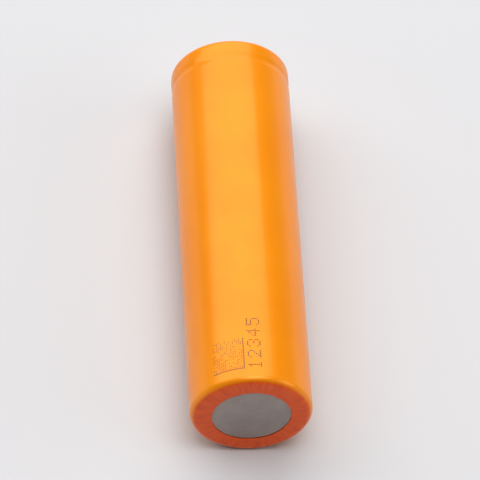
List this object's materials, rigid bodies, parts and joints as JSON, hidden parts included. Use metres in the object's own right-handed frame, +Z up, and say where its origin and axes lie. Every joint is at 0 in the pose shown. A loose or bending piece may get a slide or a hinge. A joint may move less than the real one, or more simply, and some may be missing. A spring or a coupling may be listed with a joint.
{
  "type": "cylindrical battery cell",
  "caption": "Cylindrical lithium-ion cell in a plain orange shrink sleeve: flat can bottom as negative end, vented cap as positive end.",
  "frame": {"origin": "midway along the cell and straight under its axis, where the sleeve would touch a flat surface", "axes": "+Y along the cell from the negative to the positive end, +Z up, +X across"},
  "size_m": [0.0183, 0.065, 0.0183],
  "materials": {
    "sleeve_film": "glossy heat-shrunk polymer film",
    "fibre_washer": "matt pressed fibre",
    "can_steel": "nickel-plated, drawn",
    "gasket_plastic": "moulded polypropylene",
    "cap_steel": "nickel-plated, stamped",
    "ptc_polymer": "carbon-filled polymer with foil faces",
    "vent_aluminium": "soft rolled sheet",
    "cid_plastic": "moulded",
    "plate_aluminium": "stamped sheet",
    "tab_aluminium": "rolled strip",
    "tab_tape": "amber polyimide tape",
    "insulator_plastic": "die-cut sheet",
    "positive_coating": "oxide coating on aluminium foil",
    "negative_coating": "graphite coating on copper foil",
    "separator_film": "microporous film",
    "roll_tape": "polyester tape",
    "pin_steel": "rolled tube",
    "tab_nickel": "nickel strip"
  },
  "bodies": {
    "root": {"bottom_insulator": "insulator_plastic", "can": "can_steel", "centre_pin": "pin_steel", "cid_base_plate": "plate_aluminium", "cid_insulator": "cid_plastic", "crimp_gasket": "gasket_plastic", "insulating_washer": "fibre_washer", "negative_electrode": "negative_coating", "negative_tab": "tab_nickel", "negative_tab_tape": "tab_tape", "positive_cap": "cap_steel", "positive_electrode": "positive_coating", "positive_tab": "tab_aluminium", "positive_tab_tape": "tab_tape", "ptc_disc": "ptc_polymer", "roll_end_tape": "roll_tape", "separator_inner": "separator_film", "separator_outer": "separator_film", "shrink_sleeve": "sleeve_film", "top_insulator": "insulator_plastic", "vent_disc": "vent_aluminium"}
  },
  "joints": []
}
